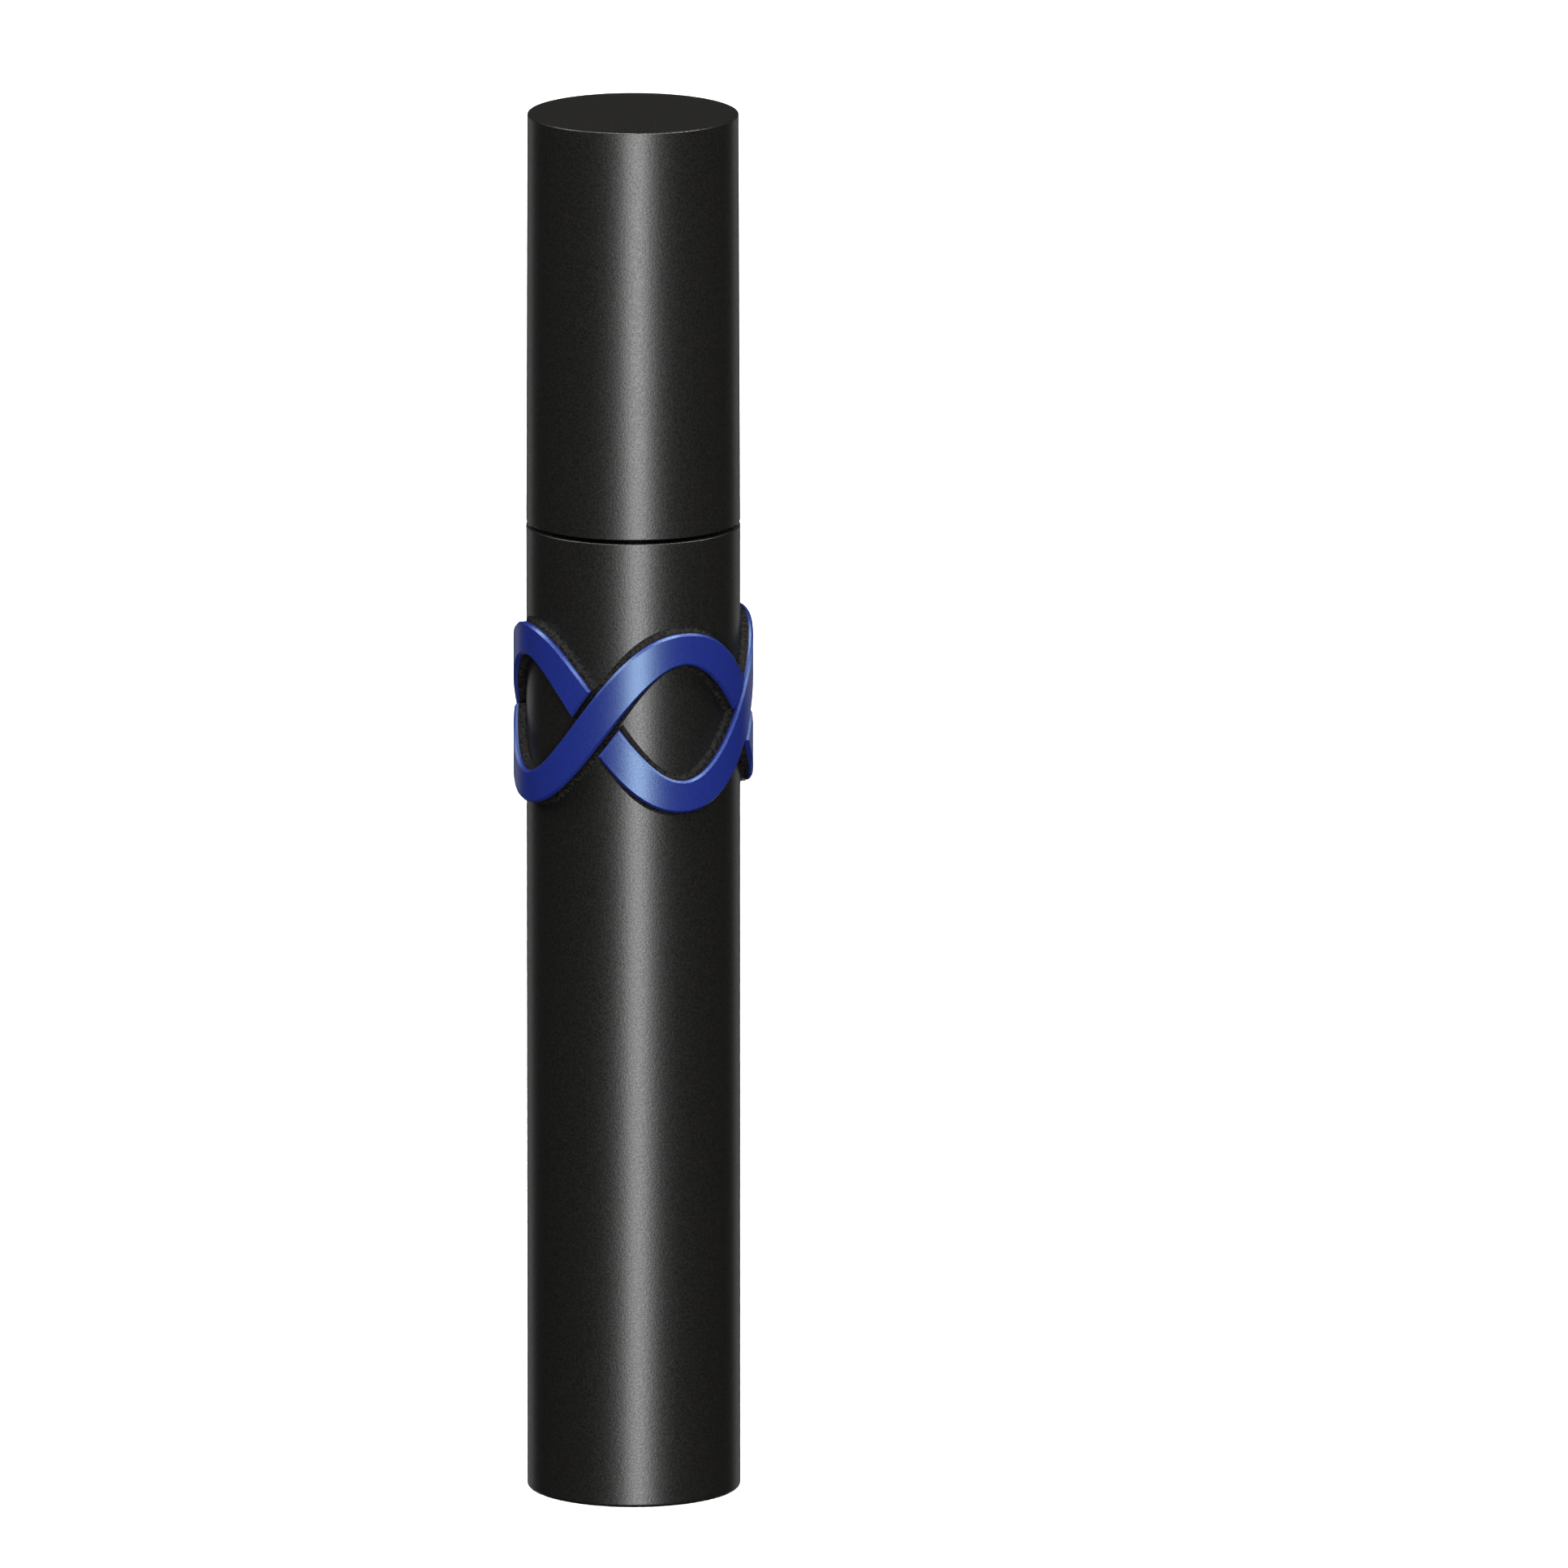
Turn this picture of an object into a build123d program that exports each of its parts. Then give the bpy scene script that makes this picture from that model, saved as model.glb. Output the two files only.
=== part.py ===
from build123d import *
from math import cos, pi, sin, sqrt
import os

# Mascara tube with a screwed-in applicator. Millimetres, +Z up, origin at the
# centre of the foot. The tube stands upright and closed.

# ---- Outline ----
tube_diameter = 20.0
body_height = 92.0
seam_gap = 0.35
cap_height = 38.65
cap_draft = 0.15
cap_top_edge_radius = 0.15
foot_edge_radius = 0.35
rim_edge_radius = 0.12

# ---- Outer sleeve and what closes it ----
sleeve_wall = 1.2
base_plug_thickness = 3.0
base_plug_recess = 0.2
label_diameter = 13.0
label_thickness = 0.12
label_recess_depth = 0.3
label_edge_clearance = 0.15
collar_height = 2.3
collar_below_rim = 0.2

# ---- Inner bottle and neck ----
bottle_wall = 1.0
bottle_floor = 1.2
shoulder_thickness = 1.2
bottle_foot_radius = 1.5
neck_diameter = 12.0
neck_bore_diameter = 9.0
neck_height = 12.0

# ---- Screw thread, right-hand, two starts ----
thread_lead = 6.0
thread_starts = 2
cap_thread_turns = 1.0
ridge_height = 0.8
ridge_root_width = 1.4
ridge_crest_width = 0.8
ridge_root_sink = 0.15
thread_above_rim = 2.3
thread_below_neck_top = 1.9
thread_radial_clearance = 0.2

# ---- Wiper and gasket ----
wiper_flange_thickness = 0.8
wiper_flange_inset = 0.4
wiper_wall = 0.6
wiper_seat_length = 5.0
wiper_funnel_length = 4.5
gasket_thickness = 0.9
gasket_edge_inset = 0.2

# ---- Applicator ----
rod_diameter = 4.96
rod_end_radius = 0.6
rod_plug_step = 0.52
rod_plug_length = 7.3
snap_ring_height = 0.15
snap_ring_length = 0.8
snap_ring_up = 4.0
wire_diameter = 0.72
wire_overlap = 0.02
wire_twist_pitch = 3.5
wire_in_rod = 8.0
brush_length = 27.0
brush_tip_clearance = 3.9
brush_root_diameter = 11.1
brush_tip_diameter = 6.5
brush_start_diameter = 4.2
brush_end_diameter = 8.4
brush_end_length = 2.2
brush_tip_taper = 2.4
bare_wire_tip = 0.8

# ---- Cap ----
cap_wall = 1.2
cap_top_thickness = 1.5
inner_cap_recess = 0.5
inner_cap_ceiling = 2.0
inner_cap_rise = 5.0
socket_wall = 1.4
socket_top_thickness = 1.2
cap_weight_thickness = 5.0

# ---- Interlaced relief ----
band_below_rim = 17.0
wave_height = 7.0
waves = 2
crossing_angle = -108.0
ribbon_width = 3.0
ribbon_bevel = 0.12
relief_draft = 0.3
relief_height = 0.8
facing_thickness = 0.4
crossing_gap = 0.2
sections_per_strand = 24
cut_margin = 0.3

# ---- Clearances ----
press_clearance = 0.01
seat_clearance = 0.05
rod_clearance = 0.07
bottle_clearance = 0.25

# ---- Derived levels and radii ----
tube_r = tube_diameter / 2
sleeve_r = tube_r - sleeve_wall
bottle_r = sleeve_r - bottle_clearance
neck_r = neck_diameter / 2
neck_bore_r = neck_bore_diameter / 2
rod_r = rod_diameter / 2
rod_plug_r = rod_r + rod_plug_step
cap_bore_r = tube_r - cap_wall
thread_bore_r = neck_r + ridge_height + thread_radial_clearance
wire_pair_r = wire_diameter - wire_overlap / 2

seam_z = body_height + seam_gap
total_height = seam_z + cap_height
plug_top_z = base_plug_recess + base_plug_thickness
bottle_low_z = plug_top_z + seat_clearance
cavity_low_z = bottle_low_z + bottle_floor
collar_top_z = body_height - collar_below_rim
shoulder_z = collar_top_z - collar_height
neck_top_z = body_height + neck_height
flange_top_z = neck_top_z + wiper_flange_thickness
ceiling_z = flange_top_z + gasket_thickness
brush_tip_z = cavity_low_z + brush_tip_clearance
rod_end_z = brush_tip_z + brush_length
thread_low_z = body_height + thread_above_rim
thread_turns = (neck_top_z - thread_below_neck_top - thread_low_z) / thread_lead
band_z = body_height - band_below_rim
first_crossing = crossing_angle * pi / 180


def ring(outer_r, inner_r, low_z, high_z):
    """A plain tube on the Z axis."""
    height = high_z - low_z
    tube = Cylinder(outer_r, height) - Cylinder(inner_r, height)
    return tube.translate((0, 0, (low_z + high_z) / 2))


def disc(radius, low_z, high_z):
    """A plain round plate on the Z axis."""
    return Cylinder(radius, high_z - low_z).translate((0, 0, (low_z + high_z) / 2))


def turned(points):
    """The solid turned from a closed (radius, z) outline."""
    outline = [(r, 0, z) for r, z in points]
    return revolve(make_face(Polyline(*outline, close=True)), Axis.Z)


def edges_at(part, radius, height):
    """The circular edges of a part at one radius and height."""
    def matches(edge):
        near_height = abs(edge.center(CenterOf.BOUNDING_BOX).Z - height) < 1e-3
        return near_height and abs(edge.radius - radius) < 1e-3
    return [edge for edge in part.edges().filter_by(GeomType.CIRCLE) if matches(edge)]


def thread_ridges(root_r, crest_r, low_z, turns):
    """Right-hand helical ridges with a trapezoid section, one for each start."""
    sink = ridge_root_sink if root_r < crest_r else -ridge_root_sink
    path = Helix(pitch=thread_lead, height=thread_lead * turns, radius=root_r)
    plane = Plane(origin=path @ 0, x_dir=(1, 0, 0), z_dir=path % 0)
    height = crest_r - root_r
    root_half, crest_half = ridge_root_width / 2, ridge_crest_width / 2
    outline = Polyline(
        (-sink, -root_half), (0, -root_half), (height, -crest_half),
        (height, crest_half), (0, root_half), (-sink, root_half), close=True,
    )
    ridge = sweep(plane * make_face(outline), path=path, is_frenet=True)
    ridge = ridge.translate((0, 0, low_z))
    step = 360 / thread_starts
    return [ridge.rotate(Axis.Z, step * start) for start in range(thread_starts)]


def make_outer_sleeve():
    """The matt outer casing, open at both ends."""
    sleeve = ring(tube_r, sleeve_r, 0, body_height)
    sleeve = fillet(edges_at(sleeve, tube_r, 0), foot_edge_radius)
    return fillet(edges_at(sleeve, tube_r, body_height), rim_edge_radius)


def make_base_plug():
    """The disc that closes the sleeve's foot, with a seat for the label."""
    plug = disc(sleeve_r - press_clearance, base_plug_recess, plug_top_z)
    seat_r = label_diameter / 2 + label_edge_clearance
    return plug - disc(seat_r, 0, base_plug_recess + label_recess_depth)


def make_base_label():
    """The blank round label in the base plug's seat."""
    top = base_plug_recess + label_recess_depth
    return disc(label_diameter / 2, top - label_thickness, top)


def make_inner_bottle():
    """The moulded reservoir with its shoulder and threaded neck."""
    cavity_r = bottle_r - bottle_wall
    cavity_high = shoulder_z - shoulder_thickness
    body = disc(bottle_r, bottle_low_z, shoulder_z)
    body = fillet(edges_at(body, bottle_r, bottle_low_z), bottle_foot_radius)
    neck = disc(neck_r, shoulder_z, neck_top_z)
    for ridge in thread_ridges(neck_r, neck_r + ridge_height, thread_low_z, thread_turns):
        neck = neck + ridge
    bore = disc(neck_bore_r, cavity_low_z, neck_top_z)
    return (body + neck) - disc(cavity_r, cavity_low_z, cavity_high) - bore


def make_neck_collar():
    """The ring that fills the step between the neck and the sleeve."""
    return ring(sleeve_r - press_clearance, neck_r + seat_clearance, shoulder_z, collar_top_z)


def make_wiper():
    """The soft funnel pressed into the neck, which strips the brush."""
    seat_r = neck_bore_r - press_clearance
    lip_r = rod_r + rod_clearance
    seat_low = neck_top_z - wiper_seat_length
    lip_z = seat_low - wiper_funnel_length
    return turned([
        (neck_r - wiper_flange_inset, neck_top_z),
        (neck_r - wiper_flange_inset, flange_top_z),
        (seat_r - wiper_wall, flange_top_z),
        (seat_r - wiper_wall, seat_low),
        (lip_r, lip_z),
        (lip_r + wiper_wall, lip_z),
        (seat_r, seat_low),
        (seat_r, neck_top_z),
    ])


def make_gasket():
    """The loose washer that seals the cap's ceiling against the wiper."""
    outer_r = neck_r - gasket_edge_inset
    return ring(outer_r, rod_r + rod_clearance, flange_top_z, ceiling_z)


def make_rod():
    """The applicator's stem, with a snap-in plug on top and a bore for the wire."""
    plug_top = ceiling_z + rod_plug_length
    ring_low = ceiling_z + snap_ring_up
    rod = disc(rod_r, rod_end_z, ceiling_z)
    rod = fillet(edges_at(rod, rod_r, rod_end_z), rod_end_radius)
    rod = rod + disc(rod_plug_r, ceiling_z, plug_top)
    rod = rod + disc(rod_plug_r + snap_ring_height, ring_low, ring_low + snap_ring_length)
    return rod - disc(wire_pair_r + press_clearance, rod_end_z, rod_end_z + wire_in_rod)


def make_brush_wire():
    """Two wires twisted into the brush core, with the fold rounded at the tip."""
    low, high = brush_tip_z + wire_pair_r, rod_end_z + wire_in_rod
    offset = (wire_diameter - wire_overlap) / 2
    pair = Pos(offset, 0) * Circle(wire_diameter / 2) + Pos(-offset, 0) * Circle(wire_diameter / 2)
    face = (Pos(0, 0, low) * pair).face()
    turns = (high - low) / wire_twist_pitch
    core = Solid.extrude_linear_with_rotation(face, (0, 0, low), (0, 0, high - low), turns * 360)
    return core + Sphere(wire_pair_r).translate((0, 0, low))


def make_bristles():
    """The outer shape of the fibre pile around the core."""
    start_r, tip_r = brush_start_diameter / 2, brush_tip_diameter / 2
    root_r, end_r = brush_root_diameter / 2, brush_end_diameter / 2
    low = brush_tip_z + bare_wire_tip
    core_r = wire_pair_r + seat_clearance
    return turned([
        (core_r, low),
        (start_r, low),
        (tip_r, low + brush_tip_taper),
        (root_r, rod_end_z - brush_end_length),
        (end_r, rod_end_z - seat_clearance),
        (core_r, rod_end_z - seat_clearance),
    ])


def make_inner_cap():
    """The threaded liner of the cap, with the socket that grips the rod."""
    outer_r = cap_bore_r - press_clearance
    low = seam_z + inner_cap_recess
    ceiling_top = ceiling_z + inner_cap_ceiling
    socket_r = rod_plug_r + press_clearance
    socket_top = ceiling_z + rod_plug_length + seat_clearance
    cap = ring(outer_r, thread_bore_r, low, ceiling_top + inner_cap_rise)
    cap = cap + disc(thread_bore_r + seat_clearance, ceiling_z, ceiling_top)
    cap = cap + disc(socket_r + socket_wall, ceiling_z, socket_top + socket_top_thickness)
    crest_r = neck_r + thread_radial_clearance
    cap_thread_z = thread_low_z + thread_lead / thread_starts / 2
    for ridge in thread_ridges(thread_bore_r, crest_r, cap_thread_z, cap_thread_turns):
        cap = cap + ridge
    cap = cap - disc(socket_r, ceiling_z, socket_top)
    groove_low = ceiling_z + snap_ring_up - seat_clearance
    groove_high = ceiling_z + snap_ring_up + snap_ring_length + seat_clearance
    return cap - disc(socket_r + snap_ring_height, groove_low, groove_high)


def make_cap_shell():
    """The matt outer casing of the cap, with a slight draft towards its flat top."""
    top_r = tube_r - cap_draft
    shell = turned([(0, seam_z), (tube_r, seam_z), (top_r, total_height), (0, total_height)])
    shell = fillet(edges_at(shell, top_r, total_height), cap_top_edge_radius)
    shell = fillet(edges_at(shell, tube_r, seam_z), rim_edge_radius)
    return shell - disc(cap_bore_r, seam_z, total_height - cap_top_thickness)


def make_cap_weight():
    """The steel slug glued under the cap's top."""
    high = total_height - cap_top_thickness
    return disc(cap_bore_r - seat_clearance, high - cap_weight_thickness, high)


def strand_z(sign, angle):
    """Height of a strand's centreline, with the angle in radians."""
    phase = waves * (angle - first_crossing)
    return band_z + sign * wave_height * sin(phase)


def strand_slope(sign, angle):
    """Rise of a strand for each millimetre along the sleeve's surface."""
    phase = waves * (angle - first_crossing)
    return sign * wave_height * waves * cos(phase) / tube_r


def strand(sign, first, last, low, high):
    """A ribbon solid between two angles. low and high are (radius, half width)."""
    sections = []
    for step in range(sections_per_strand + 1):
        angle = first + (last - first) * step / sections_per_strand
        middle = strand_z(sign, angle)
        stretch = sqrt(1 + strand_slope(sign, angle) ** 2)
        corners = []
        for (radius, half), side in ((low, -1), (low, 1), (high, 1), (high, -1)):
            z = middle + side * half * stretch
            corners.append((radius * cos(angle), radius * sin(angle), z))
        sections.append(make_face(Polyline(*corners, close=True)))
    return loft(sections)


def make_ribbon(sign, crossing, low, high):
    """One ribbon, over at a crossing and cut clear of the strand above at its ends."""
    quarter = pi / waves
    middle = first_crossing + crossing * quarter
    ends = (middle - quarter, middle + quarter)
    ribbon = strand(sign, *ends, low, high)
    half = ribbon_width / 2 + relief_draft + crossing_gap
    cut_low, cut_high = (low[0] - cut_margin, half), (high[0] + cut_margin, half)
    for end in ends:
        ribbon = ribbon - strand(-sign, end - quarter / 2, end + quarter / 2, cut_low, cut_high)
    return ribbon


def make_relief(sign, crossing):
    """The black raised pad, wider at its foot."""
    half = ribbon_width / 2
    foot = (tube_r + press_clearance, half + relief_draft)
    return make_ribbon(sign, crossing, foot, (tube_r + relief_height, half))


def make_facing(sign, crossing):
    """The blue plate on top of a pad, with bevelled edges."""
    low_r = tube_r + relief_height
    half = ribbon_width / 2
    return make_ribbon(sign, crossing, (low_r, half), (low_r + facing_thickness, half - ribbon_bevel))


pieces = {
    "outer_sleeve": make_outer_sleeve(),
    "base_plug": make_base_plug(),
    "base_label": make_base_label(),
    "inner_bottle": make_inner_bottle(),
    "neck_collar": make_neck_collar(),
    "wiper": make_wiper(),
    "gasket": make_gasket(),
    "rod": make_rod(),
    "brush_wire": make_brush_wire(),
    "bristles": make_bristles(),
    "inner_cap": make_inner_cap(),
    "cap_shell": make_cap_shell(),
    "cap_weight": make_cap_weight(),
}
for crossing in range(2 * waves):
    side = 1 if crossing % 2 == 0 else -1
    pieces[f"relief_{crossing + 1}"] = make_relief(side, crossing)
    pieces[f"facing_{crossing + 1}"] = make_facing(side, crossing)

os.makedirs("parts", exist_ok=True)
for name, piece in pieces.items():
    export_step(piece, f"parts/{name}.step")
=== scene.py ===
"""Mascara tube with a screwed-in applicator: its finishes, its fine meshes and a small studio.

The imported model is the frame. Shells, neck, cap and stem keep their own meshes and get finishes here.
The interlaced band, the twisted wire and the fibre pile are built anew and stand for their plain solids.
Lengths are metres, with MM for sizes that are given in millimetres.
"""

import logging
import math
from dataclasses import dataclass
from enum import Enum
from typing import Any, Optional

import bmesh
import bpy
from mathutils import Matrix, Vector


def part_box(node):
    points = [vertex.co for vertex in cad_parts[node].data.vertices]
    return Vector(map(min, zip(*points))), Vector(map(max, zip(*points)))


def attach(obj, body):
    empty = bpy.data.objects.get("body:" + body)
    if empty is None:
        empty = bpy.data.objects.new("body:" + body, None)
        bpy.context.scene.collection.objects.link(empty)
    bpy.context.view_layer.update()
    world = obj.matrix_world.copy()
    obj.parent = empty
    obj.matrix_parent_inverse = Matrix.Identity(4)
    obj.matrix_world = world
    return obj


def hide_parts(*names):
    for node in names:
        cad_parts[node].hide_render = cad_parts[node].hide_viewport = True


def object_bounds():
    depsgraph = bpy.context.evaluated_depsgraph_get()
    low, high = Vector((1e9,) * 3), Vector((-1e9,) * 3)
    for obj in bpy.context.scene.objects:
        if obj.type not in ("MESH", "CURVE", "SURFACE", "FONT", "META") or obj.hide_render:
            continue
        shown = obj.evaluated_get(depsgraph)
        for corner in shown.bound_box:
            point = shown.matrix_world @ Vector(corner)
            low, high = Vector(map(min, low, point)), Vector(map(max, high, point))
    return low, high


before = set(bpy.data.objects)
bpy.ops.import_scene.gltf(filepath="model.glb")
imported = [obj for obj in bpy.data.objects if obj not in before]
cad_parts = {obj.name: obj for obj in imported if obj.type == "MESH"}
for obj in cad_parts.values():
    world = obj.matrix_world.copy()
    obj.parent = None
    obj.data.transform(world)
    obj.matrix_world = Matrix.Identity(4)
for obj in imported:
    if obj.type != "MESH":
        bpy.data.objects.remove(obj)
CAD_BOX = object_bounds()

MM = 0.001
LOG = logging.getLogger("mascara_tube")


class Body(Enum):
    """The moving bodies of the frame that pieces made here ride on."""

    BOTTLE = "bottle"
    APPLICATOR = "applicator"


class Over(Enum):
    """Which strand of the band is on top at a crossing, by the sign of its wave."""

    FIRST = 1
    SECOND = -1


# ---- Nodes and colours ----


def add_node(
    tree: bpy.types.NodeTree, kind: str, inputs: Optional[dict] = None, **settings: Any,
) -> bpy.types.Node:
    """Adds one node with its settings and what feeds it.

    Args:
        tree: The tree that gets the node.
        kind: The node's type name.
        inputs: For each input, by name or number, a socket to link or a plain value.
        settings: The node's own properties.

    Returns:
        The new node.
    """
    node = tree.nodes.new(kind)
    for key, value in settings.items():
        setattr(node, key, value)
    for key, value in (inputs or {}).items():
        if isinstance(value, bpy.types.NodeSocket):
            tree.links.new(value, node.inputs[key])
        else:
            node.inputs[key].default_value = value
    return node


def linear(colour: str) -> tuple[float, float, float, float]:
    """Turns an sRGB hex colour into linear red, green and blue with full alpha.

    Args:
        colour: Such as "#1a2b3c".

    Returns:
        Four numbers from 0 to 1.
    """
    shares = [int(colour[start:start + 2], 16) / 255 for start in (1, 3, 5)]
    red, green, blue = [s / 12.92 if s <= 0.04045 else ((s + 0.055) / 1.055) ** 2.4 for s in shares]
    return red, green, blue, 1.0


# ---- Finishes ----


@dataclass(frozen=True)
class Finish:
    """A surface by what it is made of, with a grain in its height, gloss and tone.

    Grain is the distance between two bumps of the surface, and depth is their height.
    """

    name: str
    colour: str
    tone_colour: str
    roughness: float
    roughness_spread: float
    grain: float
    depth: float
    specular: float = 0.5
    specular_tint: str = "#ffffff"
    metallic: float = 0.0
    ior: float = 1.5

    def material(self) -> bpy.types.Material:
        """The finish as a material.

        Returns:
            A new material whose grain follows the piece's own coordinates.
        """
        material = bpy.data.materials.new(self.name)
        material.use_nodes = True
        tree = material.node_tree
        tree.nodes.clear()
        shader = add_node(tree, "ShaderNodeBsdfPrincipled", {
            "Metallic": self.metallic, "IOR": self.ior, "Specular IOR Level": self.specular,
            "Specular Tint": linear(self.specular_tint),
        })
        add_node(tree, "ShaderNodeOutputMaterial", {"Surface": shader.outputs[0]})
        place = add_node(tree, "ShaderNodeTexCoord").outputs["Object"]
        pattern = self.pattern(tree, place)
        tone = add_node(tree, "ShaderNodeMix", {
            0: pattern, 6: linear(self.colour), 7: linear(self.tone_colour),
        }, data_type="RGBA")
        tree.links.new(tone.outputs[2], shader.inputs["Base Color"])
        gloss = add_node(tree, "ShaderNodeMapRange", {
            0: pattern, 3: self.roughness - self.roughness_spread, 4: self.roughness + self.roughness_spread,
        })
        tree.links.new(gloss.outputs[0], shader.inputs["Roughness"])
        bump = add_node(tree, "ShaderNodeBump", {"Height": pattern, "Distance": self.depth, "Strength": 1.0})
        tree.links.new(bump.outputs[0], shader.inputs["Normal"])
        return material

    def pattern(self, tree: bpy.types.NodeTree, place: bpy.types.NodeSocket) -> bpy.types.NodeSocket:
        """The grain from 0 to 1 over the surface. This one is the random grit of a moulded face.

        Args:
            tree: The material's tree.
            place: The point on the piece.

        Returns:
            The socket that holds the grain.
        """
        grit = add_node(tree, "ShaderNodeTexNoise", {
            "Vector": place, "Scale": 1 / self.grain, "Detail": 2.0, "Roughness": 0.6,
        })
        return add_node(tree, "ShaderNodeMapRange", {0: grit.outputs[0], 1: 0.3, 2: 0.7}).outputs[0]


@dataclass(frozen=True)
class CellFinish(Finish):
    """A surface of small round cells, such as foam or the spark-eroded face of soft rubber."""

    def pattern(self, tree: bpy.types.NodeTree, place: bpy.types.NodeSocket) -> bpy.types.NodeSocket:
        """Smooth cells, each as wide as the grain.

        Args:
            tree: The material's tree.
            place: The point on the piece.

        Returns:
            The socket that holds the cells.
        """
        cells = add_node(tree, "ShaderNodeTexVoronoi", {
            "Vector": place, "Scale": 1 / self.grain, "Smoothness": 0.6,
        }, feature="SMOOTH_F1")
        return add_node(tree, "ShaderNodeMapRange", {0: cells.outputs[0], 1: 0.1, 2: 0.8}).outputs[0]


@dataclass(frozen=True)
class TurnedFinish(Finish):
    """A face cut on a lathe, with fine rings round the Z axis.

    The wave node's phase is its scale times wave_rate times the distance.
    """

    wave_rate: float = 20.0

    def pattern(self, tree: bpy.types.NodeTree, place: bpy.types.NodeSocket) -> bpy.types.NodeSocket:
        """Rings one grain apart, slightly uneven.

        Args:
            tree: The material's tree.
            place: The point on the piece.

        Returns:
            The socket that holds the rings.
        """
        rings = add_node(tree, "ShaderNodeTexWave", {
            "Vector": place, "Scale": math.tau / self.wave_rate / self.grain,
            "Distortion": 1.5, "Detail": 2.0,
        }, wave_type="RINGS", rings_direction="Z")
        return rings.outputs[1]


# Matt lacquer over moulded ABS: a deep warm black with a soft broad sheen and a fine dry grit.
# The real grit is about 0.05 mm and is drawn coarser to show.
MATT_LACQUER = Finish(
    "lacquered_abs_matt_black", "#080807", "#11100f", roughness=0.37, roughness_spread=0.05,
    grain=0.2 * MM, depth=0.006 * MM, specular=0.5, ior=1.5,
)
# Moulded polypropylene: black, slightly waxy, smoother than the lacquer.
BLACK_POLYPROPYLENE = Finish(
    "moulded_polypropylene_black", "#0d0d0d", "#131313", roughness=0.34, roughness_spread=0.05,
    grain=0.6 * MM, depth=0.002 * MM, ior=1.49,
)
# Thermoplastic rubber from a spark-eroded mould: a coarse dry speckle that swallows the light.
PAD_RUBBER = CellFinish(
    "moulded_rubber_speckled_black", "#010101", "#191817", roughness=0.6, roughness_spread=0.1,
    grain=0.3 * MM, depth=0.09 * MM, specular=0.1, ior=1.5,
)
# Satin metallic lacquer on ABS: a saturated blue whose sheen turns pale and slightly cyan.
BLUE_SATIN = Finish(
    "metallic_lacquer_satin_blue", "#111b5b", "#152169", roughness=0.36, roughness_spread=0.03,
    grain=0.16 * MM, depth=0.003 * MM, specular=0.8, specular_tint="#cff6ff", metallic=0.1,
)
# Low-density polyethylene of the wiper: soft, waxy and a little cloudy.
WIPER_ELASTOMER = Finish(
    "polyethylene_wiper_grey", "#2b2b2c", "#353536", roughness=0.45, roughness_spread=0.06,
    grain=0.5 * MM, depth=0.003 * MM, ior=1.51,
)
# Expanded polyethylene washer: closed cells about 0.15 mm across.
GASKET_FOAM = CellFinish(
    "expanded_polyethylene_foam", "#c9c8c4", "#e4e3df", roughness=0.7, roughness_spread=0.08,
    grain=0.15 * MM, depth=0.02 * MM, ior=1.5,
)
# Polished acetal of the stem: near black and glossy with a tight clean highlight.
STEM_ACETAL = Finish(
    "moulded_acetal_gloss_black", "#050505", "#080808", roughness=0.33, roughness_spread=0.02,
    grain=0.8 * MM, depth=0.001 * MM, ior=1.48,
)
# Annealed stainless wire, wet with the dark cosmetic: grey glints on the twist.
WIRE_STEEL = Finish(
    "stainless_wire_coated", "#0e0e10", "#1e1e22", roughness=0.36, roughness_spread=0.12,
    grain=0.35 * MM, depth=0.02 * MM, metallic=0.6,
)
# Nylon fibre with a film of the cosmetic: black, a little wet.
COATED_NYLON = Finish(
    "nylon_fibre_coated", "#020202", "#060606", roughness=0.5, roughness_spread=0.1,
    grain=0.3 * MM, depth=0.01 * MM, specular=0.25, ior=1.53,
)
# Turned mild steel of the weight in the cap's top, left bright from the lathe.
TURNED_STEEL = TurnedFinish(
    "turned_mild_steel", "#8c8c8e", "#a6a6a8", roughness=0.3, roughness_spread=0.06,
    grain=0.15 * MM, depth=0.004 * MM, metallic=1.0,
)
# Metallised polyester label film, silver and left blank.
LABEL_FILM = Finish(
    "metallised_polyester_film_silver", "#b4b5b6", "#c0c1c2", roughness=0.32, roughness_spread=0.03,
    grain=1.2 * MM, depth=0.001 * MM, metallic=0.8,
)


# ---- Meshes ----


def new_piece(name: str, mesh: bpy.types.Mesh) -> bpy.types.Object:
    """Links a mesh as a new object at the origin.

    Args:
        name: The piece's name.
        mesh: Its mesh, already in place.

    Returns:
        The new object.
    """
    piece = bpy.data.objects.new(name, mesh)
    bpy.context.scene.collection.objects.link(piece)
    return piece


def dress(piece: bpy.types.Object, material: bpy.types.Material) -> None:
    """Puts one material on every slot of a piece, or in its first slot if it has none.

    Args:
        piece: The piece to dress.
        material: What it is made of.
    """
    if not piece.material_slots:
        piece.data.materials.append(material)
    for slot in piece.material_slots:
        slot.material = material
    LOG.info("%s: %s", piece.name, material.name)


def mesh_from_tree(name: str, tree: bpy.types.NodeTree, values: dict[str, Any]) -> bpy.types.Object:
    """Runs a Geometry Nodes tree once and keeps its result as a plain mesh.

    Args:
        name: The new piece's name.
        tree: The tree that makes the geometry.
        values: What each named input of the tree gets.

    Returns:
        The piece, with no modifier left on it.
    """
    piece = new_piece(name, bpy.data.meshes.new(name))
    modifier = piece.modifiers.new(name, "NODES")
    modifier.node_group = tree
    for item in tree.interface.items_tree:
        if item.in_out == "INPUT":
            modifier[item.identifier] = values[item.name]
    bpy.context.view_layer.update()
    depsgraph = bpy.context.evaluated_depsgraph_get()
    mesh = bpy.data.meshes.new_from_object(piece.evaluated_get(depsgraph))
    piece.modifiers.remove(modifier)
    piece.data = mesh
    return piece


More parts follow.
